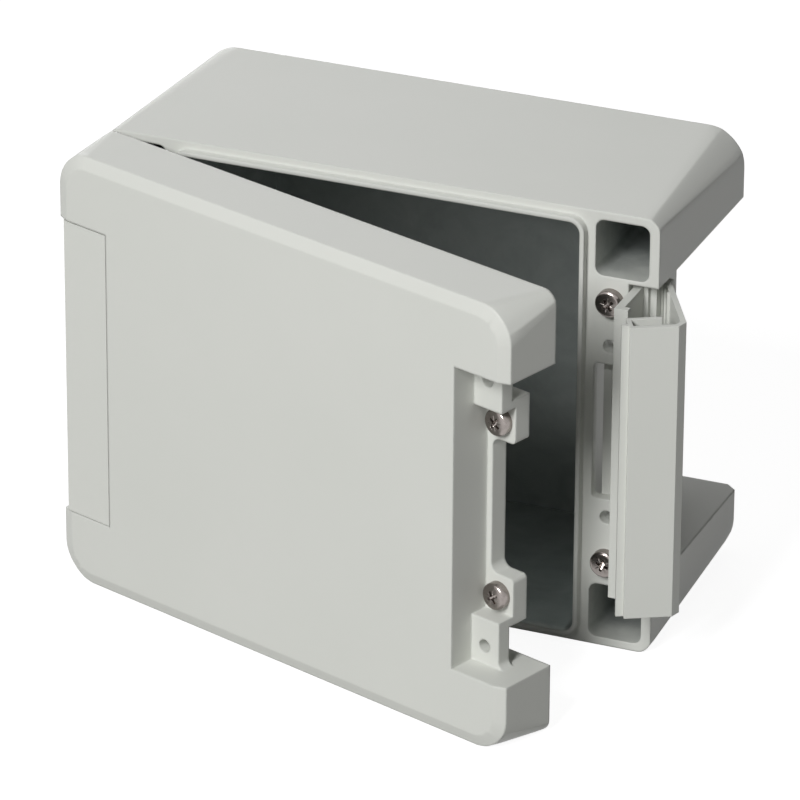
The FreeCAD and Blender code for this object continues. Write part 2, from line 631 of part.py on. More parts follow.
# Hinge leaf on the base: plate behind the left flange, carried outwards and
# forwards to the outer and middle knuckles.
knuckle_back = hinge_y + d.knuckle_radius + d.knuckle_relief
leaf = new_body("hinge_base_leaf")
section = plan(leaf, "base_leaf_section")
outline(section, [
    (-plate_inner, d.flange_thickness), (-plate_inner, plate_back),
    (hinge_x - d.leaf_out, plate_back), (hinge_x - d.leaf_out, hinge_y),
    (hinge_x - d.leaf_out + d.leaf_wall, hinge_y),
    (hinge_x - d.leaf_out + d.leaf_wall, d.flange_thickness)])
pad(leaf, "base_leaf_form", section, 2 * strip_half, both=True)
barrel = plan(leaf, "base_barrel_outline")
circle(barrel, hinge_x, hinge_y, d.knuckle_radius)
pad(leaf, "base_barrel", barrel, 2 * strip_half, both=True)
pin_hole = plan(leaf, "base_pin_hole_outline")
circle(pin_hole, hinge_x, hinge_y, d.pin_radius)
pocket(leaf, "base_pin_hole", pin_hole, 2 * strip_half + beyond, both=True)
reach = d.knuckle_radius + d.knuckle_relief
gaps = upright(leaf, "base_gap_outline", knuckle_back)
for level in ends:
    box_outline(gaps, hinge_x - reach, hinge_x + reach,
                *both_ways(d.knuckle_inner, knuckle_outer, level))
pocket(leaf, "base_gaps", gaps, 2 * reach, reverse=True)
plate_holes(leaf, "base_leaf_holes", -1, d.flange_thickness - 0.5, d.plate_thickness + 1,
            (rail_screw_z, closing_screw_z), d.closing_bore)
seat(leaf)

# Hinge leaf on the lid: plate under the left lid screws, wall with the foot that
# the cover strip's lip lies on, and a web out to the two inner knuckles.
leaf_front = -d.pad_front - d.leaf_thickness
web_back = web_front + d.leaf_web
lid_leaf = new_body("hinge_lid_leaf")
section = plan(lid_leaf, "lid_leaf_section")
outline(section, [
    (-rail_inner, web_back), (-rail_inner, -rail_front),
    (-rail_foot, -rail_front), (-rail_foot, -rail_front + d.foot_thickness),
    (-rail_outer, -rail_front + d.foot_thickness), (-rail_outer, web_front),
    (hinge_x, web_front), (hinge_x, web_back)])
pad(lid_leaf, "lid_leaf_form", section, 2 * strip_half, both=True)
plate = upright(lid_leaf, "lid_plate_outline", -d.pad_front)
box_outline(plate, -rail_inner - 0.5, -end_cut - 0.5, -leaf_half, leaf_half)
pad(lid_leaf, "lid_plate", plate, d.leaf_thickness)
barrel = plan(lid_leaf, "lid_barrel_outline")
circle(barrel, hinge_x, hinge_y, d.knuckle_radius)
pad(lid_leaf, "lid_barrel", barrel, 2 * knuckle_outer, both=True)
pin_hole = plan(lid_leaf, "lid_pin_hole_outline")
circle(pin_hole, hinge_x, hinge_y, d.pin_radius + d.pin_play)
pocket(lid_leaf, "lid_pin_hole", pin_hole, 2 * strip_half + beyond, both=True)
gaps = upright(lid_leaf, "lid_gap_outline", hinge_y + reach)
box_outline(gaps, hinge_x - reach, hinge_x + reach,
            -d.knuckle_inner - d.knuckle_gap, d.knuckle_inner + d.knuckle_gap)
for level in ends:
    box_outline(gaps, hinge_x - reach, hinge_x + reach,
                *both_ways(knuckle_outer - d.knuckle_gap, strip_half + beyond, level))
pocket(lid_leaf, "lid_gaps", gaps, 2 * reach, reverse=True)
plate_holes(lid_leaf, "lid_leaf_holes", -1, leaf_front - 0.5, d.leaf_thickness + 1,
            (closing_screw_z,), d.clearance_bore)
seat(lid_leaf, turn=hinge_turn, about=hinge_axis)

# Pin, pressed into the base's knuckles
pin = doc.addObject("Part::Cylinder", "hinge_pin")
pin.Label = "hinge_pin"
bind(pin, "Radius", d.pin_radius)
bind(pin, "Height", 2 * strip_half)
seat(pin, hinge_x, hinge_y, -strip_half)


def pan_screw(name, length):
    """Cross-recessed pan-head screw along y: head in front of y = 0, shank behind."""
    screw = new_body(name)
    profile = plan(screw, name + "_profile")
    outline(profile, [
        (0, -d.screw_head_height), (d.head_flat / 2, -d.screw_head_height),
        (d.screw_head / 2, -d.screw_head_height + d.screw_crown), (d.screw_head / 2, 0),
        (d.screw_shank / 2, 0), (d.screw_shank / 2, length), (0, length)])
    turned = screw.newObject("PartDesign::Revolution", name + "_turned")
    turned.Profile = profile
    turned.ReferenceAxis = ([f for f in screw.Origin.OriginFeatures if f.Role == "Y_Axis"][0], [""])
    turned.Angle = 360
    doc.recompute()
    cross = upright(screw, name + "_cross", -d.screw_head_height)
    span, slot = d.recess_span / 2, d.recess_slot / 2
    outline(cross, [(slot, slot), (slot, span), (-slot, span), (-slot, slot), (-span, slot),
                    (-span, -slot), (-slot, -slot), (-slot, -span), (slot, -span), (slot, -slot),
                    (span, -slot), (span, slot)])
    pocket(screw, name + "_recess", cross, d.recess_depth)
    return screw


# Screws of the rail and of the hinge leaf on the base, then those of the lid
for side in ends:
    for level in ends:
        tag = ("right" if side > 0 else "left") + ("_top" if level > 0 else "_bottom")
        screw = pan_screw("base_screw_" + tag, d.rail_screw_length)
        seat(screw, side * screw_line, 0, level * rail_screw_z)
        if side > 0:
            screw = pan_screw("lid_screw_" + tag, d.closing_screw_length)
            seat(screw, screw_line, -d.pad_front, level * closing_screw_z,
                 turn=hinge_turn, about=hinge_axis)
        else:
            screw = pan_screw("lid_screw_" + tag, d.leaf_screw_length)
            seat(screw, -screw_line, leaf_front, level * closing_screw_z,
                 turn=hinge_turn, about=hinge_axis)

# Every object must have recomputed, and every piece must be one sound solid
doc.recompute()
for obj in doc.Objects:
    if "Invalid" in obj.State or "Error" in obj.State:
        raise RuntimeError("%s failed: %s" % (obj.Name, obj.State))
pieces = [o for o in doc.Objects if o.TypeId in ("PartDesign::Body", "Part::Cylinder")]
for piece in pieces:
    shape = piece.Shape
    if shape.isNull() or not shape.isValid() or len(shape.Solids) != 1:
        raise RuntimeError("%s is not one sound solid (%d)" % (piece.Label, len(shape.Solids)))
    shape.exportStep("parts/%s.step" % piece.Label)
    box = shape.BoundBox
    print("%-24s %9.1f mm3  x %.1f..%.1f y %.1f..%.1f z %.1f..%.1f" % (
        piece.Label, shape.Volume, box.XMin, box.XMax, box.YMin, box.YMax, box.ZMin, box.ZMax))
print("pieces", len(pieces))
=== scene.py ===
import math
import bpy
import bmesh
import numpy as np
from mathutils import Matrix, Vector


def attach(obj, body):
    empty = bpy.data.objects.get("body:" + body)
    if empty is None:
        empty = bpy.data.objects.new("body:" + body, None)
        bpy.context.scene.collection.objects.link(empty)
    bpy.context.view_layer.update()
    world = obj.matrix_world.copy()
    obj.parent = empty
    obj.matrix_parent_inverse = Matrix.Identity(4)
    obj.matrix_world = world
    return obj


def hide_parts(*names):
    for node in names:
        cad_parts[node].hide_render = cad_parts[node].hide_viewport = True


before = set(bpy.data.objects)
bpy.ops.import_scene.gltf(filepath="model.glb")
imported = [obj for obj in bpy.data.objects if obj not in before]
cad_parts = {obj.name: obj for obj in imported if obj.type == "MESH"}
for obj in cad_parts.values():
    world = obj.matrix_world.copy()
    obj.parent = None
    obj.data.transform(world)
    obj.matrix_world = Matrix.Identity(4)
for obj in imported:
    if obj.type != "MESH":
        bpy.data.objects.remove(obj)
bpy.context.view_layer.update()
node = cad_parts

# Camera: the photographer's view, a long lens above and to the right of the open lid.
# Angles in degrees, distances in metres, the lens in pixels of an 800-pixel picture.
CAMERA_TURN, CAMERA_RISE, CAMERA_ROLL = 22.227, 25.361, 0.355
CAMERA_AIM = Vector((0.00815, -0.0430, 0.0781))
CAMERA_DISTANCE, CLIP_NEAR, CLIP_FAR = 2.2298, 0.05, 60.0
LENS_PIXELS, PICTURE_PIXELS, SENSOR_MM = 6602.3, 800, 36.0

turn, rise, roll = (math.radians(a) for a in (CAMERA_TURN, CAMERA_RISE, CAMERA_ROLL))
away = Vector((math.sin(turn) * math.cos(rise), -math.cos(turn) * math.cos(rise), math.sin(rise)))
level = Vector((math.cos(turn), math.sin(turn), 0.0))
raised = away.cross(level)
across = level * math.cos(roll) + raised * math.sin(roll)
upward = raised * math.cos(roll) - level * math.sin(roll)
lens = bpy.data.cameras.new("camera")
lens.sensor_width = SENSOR_MM
lens.lens = LENS_PIXELS / PICTURE_PIXELS * SENSOR_MM
lens.clip_start, lens.clip_end = CLIP_NEAR, CLIP_FAR
camera = bpy.data.objects.new("camera", lens)
camera.matrix_world = Matrix.Translation(CAMERA_AIM + away * CAMERA_DISTANCE) @ Matrix(
    (across, upward, away)).transposed().to_4x4()
bpy.context.scene.collection.objects.link(camera)
bpy.context.scene.camera = camera
bpy.context.scene.view_settings.view_transform = "Standard"


# Studio: a white paper sweep in a dim room, a tall soft box in front, just left of the
# object, a weak one overhead and a low one behind on the left. The right end is left in
# shade. Paper and room are plain white to the camera and in reflections.
ROOM_LIGHT = 0.06
SOFT_BOXES = [  # name, place, aim, width, height, watts
    ("front_box", (-0.22, -2.75, 1.95), (0.0, -0.05, 0.08), 0.8, 1.4, 95.0),
    ("overhead_box", (-0.25, 0.1, 2.3), (0.0, 0.0, 0.08), 0.9, 1.1, 6.0),
    ("back_box", (-1.5, 2.6, 0.6), (0.0, 0.0, 0.08), 1.2, 0.8, 12.0),
]
PAPER_REACH, PAPER_BELOW, PAPER_ROUGH = 20.0, 0.0002, 0.9
PAPER_LIT, PAPER_SHADE, PAPER_GLOW = "#949492", (0.30, 0.30, 0.30, 1.0), 0.92
WHITE = (1.0, 1.0, 1.0, 1.0)


def linear(hex_colour):
    """An sRGB hex colour as linear RGBA, by the sRGB curve."""
    channels = np.array([int(hex_colour[k:k + 2], 16) for k in (1, 3, 5)]) / 255.0
    curve = np.where(channels <= 0.04045, channels / 12.92, ((channels + 0.055) / 1.055) ** 2.4)
    return (*[float(c) for c in curve], 1.0)


def add(owner, kind, links=(), **settings):
    """Adds a node. Settings name its sockets or properties; links pair a socket of its
    own with the output that feeds it."""
    item = owner.node_tree.nodes.new(kind)
    for name, value in settings.items():
        label = name.replace("_", " ")
        if hasattr(item, name) and label not in item.inputs:
            setattr(item, name, value)
        else:
            item.inputs[label].default_value = value
    for socket, output in links:
        owner.node_tree.links.new(output, item.inputs[socket])
    return item


def new_material(name):
    """A new material and its Principled shader."""
    material = bpy.data.materials.new(name)
    material.use_nodes = True
    return material, material.node_tree.nodes["Principled BSDF"]


def white_to_the_eye(owner):
    """1 for a ray from the camera, or one mirrored or bent on its way; otherwise 0."""
    rays = add(owner, "ShaderNodeLightPath")
    seen = rays.outputs["Is Camera Ray"]
    for kind in ("Is Glossy Ray", "Is Transmission Ray"):
        seen = add(owner, "ShaderNodeMath", links=[(0, seen), (1, rays.outputs[kind])],
                   operation="MAXIMUM").outputs[0]
    return seen


world = bpy.data.worlds.new("room")
bpy.context.scene.world = world
world.use_nodes = True
air = world.node_tree.nodes["Background"]
air.inputs["Color"].default_value = WHITE
strength = add(world, "ShaderNodeMapRange", links=[("Value", white_to_the_eye(world))],
               To_Min=ROOM_LIGHT, To_Max=1.0)
world.node_tree.links.new(strength.outputs[0], air.inputs["Strength"])

for name, place, aim, wide, high, watts in SOFT_BOXES:
    lamp = bpy.data.lights.new(name, "AREA")
    lamp.shape, lamp.size, lamp.size_y, lamp.energy = "RECTANGLE", wide, high, watts
    box = bpy.data.objects.new(name, lamp)
    box.location = place
    box.rotation_euler = (Vector(aim) - Vector(place)).to_track_quat("-Z", "Y").to_euler()
    bpy.context.scene.collection.objects.link(box)

paper_mesh = bpy.data.meshes.new("paper_sweep")
paper_mesh.from_pydata([(x * PAPER_REACH, y * PAPER_REACH, 0)
                        for x, y in ((-1, -1), (1, -1), (1, 1), (-1, 1))], [], [(0, 1, 2, 3)])
paper_sweep = bpy.data.objects.new("paper_sweep", paper_mesh)
paper_sweep.location.z = -PAPER_BELOW
bpy.context.scene.collection.objects.link(paper_sweep)
paper, shader = new_material("matt_white_paper")
shader.inputs["Base Color"].default_value = linear(PAPER_LIT)
shader.inputs["Roughness"].default_value = PAPER_ROUGH
shade = add(paper, "ShaderNodeBsdfDiffuse", Color=PAPER_SHADE)
glow = add(paper, "ShaderNodeEmission", Color=WHITE, Strength=PAPER_GLOW)
lit = add(paper, "ShaderNodeAddShader", links=[(0, shade.outputs[0]), (1, glow.outputs[0])])
pick = add(paper, "ShaderNodeMixShader", links=[
    (0, white_to_the_eye(paper)), (1, shader.outputs[0]), (2, lit.outputs[0])])
paper.node_tree.links.new(pick.outputs[0], paper.node_tree.nodes["Material Output"].inputs[0])
paper_mesh.materials.append(paper)


# Base: one pressure die casting in aluminium, powder coated light grey outside and on
# the flange, left bare inside. The spray drifts a little way into the corner pockets,
# where the darker bare metal deeper in is partly painted shade.
# Measured in millimetres of the shut box: y from the parting plane, z from its middle.
BASE_MIDDLE = np.array([0.0, -43.0, 80.0])
MM = 1000.0  # millimetres in a metre
HALF_WIDTH, HALF_HEIGHT, BASE_DEPTH, BASE_RIM = 100.0, 80.0, 86.0, 6.0
BASE_CHAMFER = (3.7, 3.3)  # legs on the far face and on the side
CAVITY_X, CAVITY_Z, RIM_TOP = 72.9, 75.65, -3.1
POCKET_X, POCKET_Z, POCKET_FLOOR = (77.5, 96.5), (57.0, 77.0), 80.0
PAINT, PAINT_SHADE, SHELL_EDGE = "#D8D9D4", "#D3D5CF", 1.1
PAINT_ROUGH, PAINT_IOR, PAINT_SPECULAR = (0.36, 0.46), 1.5, 0.25
CLOUD_MM, PEEL_MM, PEEL_HIGH_MM, PEEL_SHOWS, EDGE_SAMPLES = 55.0, 1.3, 0.1, 0.10, 6


def powder_coat(name, colour, shade_colour, edge_mm, peel_mm=PEEL_MM, grain=(1.0, 1.0, 1.0)):
    """Polyester powder coat baked on metal: satin, with an orange peel of peel_mm, and
    drawn round the edges, which then catch the light as if rounded by edge_mm."""
    material, coat = new_material(name)
    place = add(material, "ShaderNodeTexCoord").outputs["Object"]
    stretch = add(material, "ShaderNodeMapping", links=[("Vector", place)], Scale=grain)
    cloud = add(material, "ShaderNodeTexNoise", links=[("Vector", place)],
                Scale=MM / CLOUD_MM, Detail=3.0, Roughness=0.5)
    tint = add(material, "ShaderNodeMix", links=[("Factor", cloud.outputs["Fac"])],
               data_type="RGBA")
    tint.inputs[6].default_value = linear(colour)
    tint.inputs[7].default_value = linear(shade_colour)
    peel = add(material, "ShaderNodeTexNoise", links=[("Vector", stretch.outputs[0])],
               Scale=MM / peel_mm, Detail=2.0, Roughness=0.55)
    drawn = add(material, "ShaderNodeBevel", samples=EDGE_SAMPLES, Radius=edge_mm / MM)
    bump = add(material, "ShaderNodeBump", Strength=PEEL_SHOWS, Distance=PEEL_HIGH_MM / MM,
               links=[("Height", peel.outputs["Fac"]), ("Normal", drawn.outputs[0])])
    sheen = add(material, "ShaderNodeMapRange", links=[("Value", peel.outputs["Fac"])],
                To_Min=PAINT_ROUGH[0], To_Max=PAINT_ROUGH[1])
    material.node_tree.links.new(tint.outputs[2], coat.inputs["Base Color"])
    material.node_tree.links.new(bump.outputs[0], coat.inputs["Normal"])
    material.node_tree.links.new(sheen.outputs[0], coat.inputs["Roughness"])
    coat.inputs["IOR"].default_value = PAINT_IOR
    coat.inputs["Specular IOR Level"].default_value = PAINT_SPECULAR
    return material


BARE, BARE_SHADE, BARE_METALLIC, BARE_ROUGH = "#B8BDBB", "#8A918F", 0.72, (0.38, 0.58)
FLOW_MM, GRAIN_MM, GRAIN_HIGH_MM, GRAIN_SHOWS = 16.0, 0.9, 0.1, 0.12
MIST_WANDER = 0.8  # how far patches shift the mist's edge, as a share of that edge


def bare_casting(name, start_mm, stop_mm, patch_mm):
    """Bare die-cast aluminium, mottled where the melt flowed, under paint mist that
    thins out from start_mm to stop_mm behind the opening, with patches of patch_mm.
    Deep in a recess the darker bare metal is partly painted shade."""
    material, metal = new_material(name)
    place = add(material, "ShaderNodeTexCoord").outputs["Object"]
    flow = add(material, "ShaderNodeTexNoise", links=[("Vector", place)],
               Scale=MM / FLOW_MM, Detail=6.0, Roughness=0.62, Distortion=0.6)
    alloy = add(material, "ShaderNodeMix", links=[("Factor", flow.outputs["Fac"])],
                data_type="RGBA")
    alloy.inputs[6].default_value, alloy.inputs[7].default_value = linear(BARE), linear(BARE_SHADE)
    patch = add(material, "ShaderNodeTexNoise", links=[("Vector", place)],
                Scale=MM / patch_mm, Detail=4.0, Roughness=0.6)
    apart = add(material, "ShaderNodeSeparateXYZ", links=[(0, place)])
    drift = add(material, "ShaderNodeMath", operation="MULTIPLY_ADD",
                links=[(0, patch.outputs["Fac"]), (2, apart.outputs["Y"])])
    drift.inputs[1].default_value = MIST_WANDER * (stop_mm - start_mm) / MM
    mist_and_shade = add(material, "ShaderNodeMapRange", links=[("Value", drift.outputs[0])],
               From_Min=(BASE_MIDDLE[1] + stop_mm) / MM, From_Max=(BASE_MIDDLE[1] + start_mm) / MM,
               To_Min=0.0, To_Max=1.0, interpolation_type="SMOOTHSTEP")
    tint = add(material, "ShaderNodeMix", data_type="RGBA",
               links=[("Factor", mist_and_shade.outputs[0]), (6, alloy.outputs[2])])
    tint.inputs[7].default_value = linear(PAINT_SHADE)
    metallic = add(material, "ShaderNodeMapRange", links=[("Value", mist_and_shade.outputs[0])],
                   To_Min=BARE_METALLIC, To_Max=0.0)
    rough = add(material, "ShaderNodeMapRange", links=[("Value", flow.outputs["Fac"])],
                To_Min=BARE_ROUGH[0], To_Max=BARE_ROUGH[1])
    grain = add(material, "ShaderNodeTexNoise", links=[("Vector", place)],
                Scale=MM / GRAIN_MM, Detail=3.0)
    bump = add(material, "ShaderNodeBump", links=[("Height", grain.outputs["Fac"])],
               Strength=GRAIN_SHOWS, Distance=GRAIN_HIGH_MM / MM)
    material.node_tree.links.new(tint.outputs[2], metal.inputs["Base Color"])
    material.node_tree.links.new(metallic.outputs[0], metal.inputs["Metallic"])
    material.node_tree.links.new(rough.outputs[0], metal.inputs["Roughness"])
    material.node_tree.links.new(bump.outputs[0], metal.inputs["Normal"])
    return material


shell_paint = powder_coat("powder_coat_light_grey", PAINT, PAINT_SHADE, SHELL_EDGE)
cavity_metal = bare_casting("die_cast_aluminium_bare", -3.0, 3.0, 9.0)
# Pockets: paint at the mouth, darker bare metal deeper in, partly painted shade.
pocket_metal_and_painted_shade = bare_casting("die_cast_aluminium_misted_and_painted_shade", 6.0, 44.0, 14.0)

# Metres and degrees below which points join and faces become one, first as the node
# comes and then once its edges are drawn anew.
JOIN, FLAT, REJOIN, REFLAT = 2e-6, 0.6, 2e-5, 1.2


def made_whole(work, gap, bend):
    """Joins points closer than gap, and faces that meet at less than bend."""
    bmesh.ops.remove_doubles(work, verts=work.verts, dist=gap)
    bmesh.ops.dissolve_limit(work, angle_limit=math.radians(bend), verts=work.verts,
                             edges=work.edges)


def smooth(mesh):
    """Shades every face smooth."""
    mesh.polygons.foreach_set("use_smooth", np.ones(len(mesh.polygons), bool))


def merged_copy(name, reshape=None):
    """The node's triangles as one joined surface with its flat faces made whole, after
    reshape, if it is given, has drawn its outer edges anew."""
    mesh = bpy.data.meshes.new(name + "_skin")
    work = bmesh.new()
    work.from_mesh(node[name].data)
    made_whole(work, JOIN, FLAT)
    if reshape:
        reshape(work)
        made_whole(work, REJOIN, REFLAT)
    work.to_mesh(mesh)
    work.free()
    smooth(mesh)
    return mesh


# Corner radii at the parting plane and at the far face. The corners go this far from
# round (0) to eight-sided (1), growing so over FACE_FADE from the far face, where they
# stay round, and over PLANE_FADE from the parting plane, where they have PLANE_SHARE.
CORNER_NEAR, CORNER_FAR, CORNER_FLATNESS = 5.2, 14.0, 0.85
FACE_FADE, PLANE_FADE, PLANE_SHARE = 16.0, 7.0, 0.2
EIGHTH = math.pi / 4
# Millimetres within which a face or a point still belongs to a rounding.
NEAR_ROUNDING, NEAR_CORNER, ON_CORNER, RIM_SLACK, CUT_GAP = 0.6, 0.45, 0.08, 0.001, 1e-4


def outline_place(points, depth, away):
    """Where points in millimetres of the shut box lie on the casting: u below its far
    face; v inside its outline, whose corner radius grows with the depth; the angle phi
    round that corner, 0 or 90 degrees on the flat sides; and whether it is a corner."""
    inward = np.clip(points[:, 1] * away, 0.0, depth)
    radius = CORNER_NEAR + (CORNER_FAR - CORNER_NEAR) * inward / depth
    flat = np.abs(points[:, [0, 2]])
    q = flat - (np.array([HALF_WIDTH, HALF_HEIGHT]) - radius[:, None])
    corner = np.all(q > 0, axis=1)
    v = np.where(corner, radius - np.hypot(q[:, 0], q[:, 1]),
                 np.minimum(HALF_WIDTH - flat[:, 0], HALF_HEIGHT - flat[:, 1]))
    beside = HALF_WIDTH - flat[:, 0] < HALF_HEIGHT - flat[:, 1]
    phi = np.where(corner, np.arctan2(q[:, 1], q[:, 0]), np.where(beside, 0.0, math.pi / 2))
    return depth - points[:, 1] * away, v, phi, corner


def drawn_out(angle):
    """How far a circle's point moves outwards to lie on the eight-sided figure round it:
    one over the cosine of its angle from the nearest eighth of a turn."""
    return 1.0 / np.cos(angle - EIGHTH * np.round(angle / EIGHTH))


def broad_chamfers(depth, away, rim, chamfer, swing=0.0, pivot=(0.0, 0.0)):
    """Gives the function that turns the casting's rounded outer edges into the real
    one's broad chamfers. It cuts the rounding where they begin and end. Round the far
    face each point then slides, by its angle on the rounding, along the face, the
    chamfer (its two legs on face and side) and the side; round the four growing
    corners it moves outwards by drawn_out, less so towards both ends."""
    begin, end = EIGHTH / 2, 3 * EIGHTH / 2
    on_face, on_side = chamfer
    back = Matrix.Rotation(math.radians(-swing), 4, "Z")
    hub = Matrix.Translation((pivot[0], pivot[1], 0.0))
    to_box = (hub @ back @ hub.inverted() @ Matrix.Translation(-BASE_MIDDLE)
              @ Matrix.Scale(MM, 4))

    def on_rounding(u, v, slack=0.0):
        return ((u < rim + slack) & (v < rim + slack)
                & (np.abs(np.hypot(rim - u, rim - v) - rim) < NEAR_ROUNDING))

    def chosen(work, want_corner):
        """The faces of the far face's rounding, or those of all roundings at corners."""
        middle = np.array([face.calc_center_median() for face in work.faces])
        u, v, phi, corner = outline_place(middle, depth, away)
        on_rim = on_rounding(u, v)
        on_corner = corner & (np.abs(v) < NEAR_CORNER)
        take = (on_rim | on_corner) & corner if want_corner else on_rim
        return [face for face, taken in zip(work.faces, take) if taken]

    def cut(work, faces, point, normal):
        edges = {edge for face in faces for edge in face.edges}
        corners = {vert for face in faces for vert in face.verts}
        bmesh.ops.bisect_plane(work, geom=list(corners) + list(edges) + faces, dist=CUT_GAP,
                               plane_co=point, plane_no=normal)

    def reshape(work):
        work.transform(to_box)
        for angle in (begin, end):
            level = away * (depth - rim * (1 - math.cos(angle)))
            cut(work, chosen(work, False), (0.0, level, 0.0), (0.0, 1.0, 0.0))
        # Each growing corner is part of a cone: its tip and, through it, its axis.
        slope = depth / (CORNER_FAR - CORNER_NEAR)
        for side in (1, -1):
            for up in (1, -1):
                apex = Vector((side * HALF_WIDTH, -away * slope * CORNER_NEAR, up * HALF_HEIGHT))
                axis = Vector((-side, away * slope, -up))
                for angle in (begin, end):
                    spoke = Vector((side * math.cos(angle), 0.0, up * math.sin(angle)))
                    near = [face for face in chosen(work, True)
                            if face.calc_center_median().x * side > 0
                            and face.calc_center_median().z * up > 0]
                    cut(work, near, apex, axis.cross(spoke))

        points = np.array([vert.co for vert in work.verts])
        u, v, phi, corner = outline_place(points, depth, away)
        on_rim = on_rounding(u, v, RIM_SLACK)
        turned = np.arctan2(rim - v, rim - u)
        new_u = np.where(on_rim, np.interp(turned, [begin, end, math.pi / 2],
                                           [0.0, on_side, rim]), u)
        new_v = np.where(on_rim, np.interp(turned, [0.0, begin, end], [rim, on_face, 0.0]), v)
        moved = on_rim | (corner & (np.abs(v) < ON_CORNER))
        new_radius = CORNER_NEAR + (CORNER_FAR - CORNER_NEAR) * (
            np.clip(depth - new_u, 0, depth)) / depth
        wider = 1 + (drawn_out(phi) - 1) * CORNER_FLATNESS * (
            np.clip(new_u / FACE_FADE, 0.0, 1.0)) * (
            np.clip(PLANE_SHARE + (depth - new_u) / PLANE_FADE, 0.0, 1.0))
        reach = (new_radius - new_v) * np.where(corner, wider, 1.0)
        middle = np.stack([HALF_WIDTH - new_radius, HALF_HEIGHT - new_radius], axis=1)
        place = middle + reach[:, None] * np.stack([np.cos(phi), np.sin(phi)], axis=1)
        flat = np.abs(points[:, [0, 2]])
        straight, above = moved & ~corner, phi > EIGHTH
        place[straight & above, 0] = flat[straight & above, 0]
        place[straight & ~above, 1] = flat[straight & ~above, 1]
        place = np.where(moved[:, None], place, flat) * np.where(points[:, [0, 2]] < 0, -1.0, 1.0)
        deep = np.where(moved, away * (depth - new_u), points[:, 1])
        for vert, (x, z), y in zip(work.verts, place, deep):
            vert.co = (x, y, z)
        work.transform(to_box.inverted())

    return reshape


def shut_box_points(mesh, swing=0.0, pivot=(0.0, 0.0)):
    """The mesh's points in millimetres of the shut box: the swing in degrees about the
    upright line through pivot is turned back."""
    points = np.empty(len(mesh.vertices) * 3)
    mesh.vertices.foreach_get("co", points)
    points = points.reshape(-1, 3) * MM - BASE_MIDDLE
    c, s = math.cos(math.radians(swing)), math.sin(math.radians(swing))
    x, y = points[:, 0] - pivot[0], points[:, 1] - pivot[1]
    points[:, 0], points[:, 1] = pivot[0] + c * x + s * y, pivot[1] - s * x + c * y
    return points


# Millimetres and radians within which a point still lies on a chamfer's line, and the
# turn in degrees that creases a surface.
NEAR_LINE, NEAR_SIDE, NEAR_ANGLE, CREASE = 0.02, 0.03, 0.02, 32.0


def chamfer_lines(mesh, points, depth, away, chamfer):
    """The edges at which the broad chamfers begin and end."""
    u, v, phi, corner = outline_place(points, depth, away)
    on_face = (np.abs(u) < NEAR_LINE) & (np.abs(v - chamfer[0]) < NEAR_SIDE)
    on_side = (np.abs(u - chamfer[1]) < NEAR_LINE) & (v < NEAR_SIDE)
    eighth = (phi - EIGHTH / 2) / EIGHTH
    on_corner = (corner & (v < NEAR_SIDE) & (np.abs(eighth - np.round(eighth)) < NEAR_ANGLE)
                 & (u > chamfer[1] - NEAR_LINE))
    pairs = np.empty(len(mesh.edges) * 2, np.int32)
    mesh.edges.foreach_get("vertices", pairs)
    pairs = pairs.reshape(-1, 2)
    same_line = np.abs(phi[pairs[:, 0]] - phi[pairs[:, 1]]) < NEAR_ANGLE
    return (np.all(on_face[pairs], axis=1) | np.all(on_side[pairs], axis=1)
            | (np.all(on_corner[pairs], axis=1) & same_line))


def all_corners(mesh, good):
    """For each face, whether every one of its corners is good."""
    corner = np.empty(len(mesh.loops), np.int32)
    mesh.loops.foreach_get("vertex_index", corner)
    start = np.empty(len(mesh.polygons), np.int32)
    mesh.polygons.foreach_get("loop_start", start)
    return np.logical_and.reduceat(good[corner], start)


def stand_in(piece_name, mesh, name, body):
    """Puts the mesh in place of the node of that name, on its body, with its finish."""
    piece = bpy.data.objects.new(piece_name, mesh)
    bpy.context.scene.collection.objects.link(piece)
    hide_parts(name)
    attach(piece, body)
    return piece


def as_skin(mesh, name, materials, body, lines=False):
    """Puts the surface in place of its node, shaded evenly on the flats and creased
    along the lines and wherever it turns by more than CREASE degrees."""
    for material in materials:
        mesh.materials.append(material)
    work = bmesh.new()
    work.from_mesh(mesh)
    turns = np.array([edge.calc_face_angle(math.pi) for edge in work.edges])
    work.free()
    crease = mesh.attributes.new("sharp_edge", "BOOLEAN", "EDGE")
    crease.data.foreach_set("value", lines | (turns > math.radians(CREASE)))
    even = stand_in(mesh.name, mesh, name, body).modifiers.new(
        "even_shading", "WEIGHTED_NORMAL")
    even.weight, even.keep_sharp = 100, True


# The cavity and the pockets are told by their points' places; faces flush with the rim
# or the parting plane stay painted.
NEAR_WALL, OFF_WALL = 0.05, 0.1

base_mesh = merged_copy("base_shell", broad_chamfers(BASE_DEPTH, 1, BASE_RIM, BASE_CHAMFER))
points = shut_box_points(base_mesh)
x, y, z = np.abs(points[:, 0]), points[:, 1], np.abs(points[:, 2])
in_cavity = ((x < CAVITY_X + NEAR_WALL) & (z < CAVITY_Z + NEAR_WALL)
             & (y > RIM_TOP - NEAR_WALL))
in_pocket = ((x > POCKET_X[0] - NEAR_WALL) & (x < POCKET_X[1] + NEAR_WALL)
             & (z > POCKET_Z[0] - NEAR_WALL) & (z < POCKET_Z[1] + NEAR_WALL)
             & (y > -NEAR_WALL) & (y < POCKET_FLOOR + NEAR_WALL))
deep = np.zeros(len(base_mesh.polygons) * 3)
base_mesh.polygons.foreach_get("center", deep)
deep = deep.reshape(-1, 3)[:, 1] * MM - BASE_MIDDLE[1]
bare_faces = all_corners(base_mesh, in_cavity) & (deep > RIM_TOP + OFF_WALL)
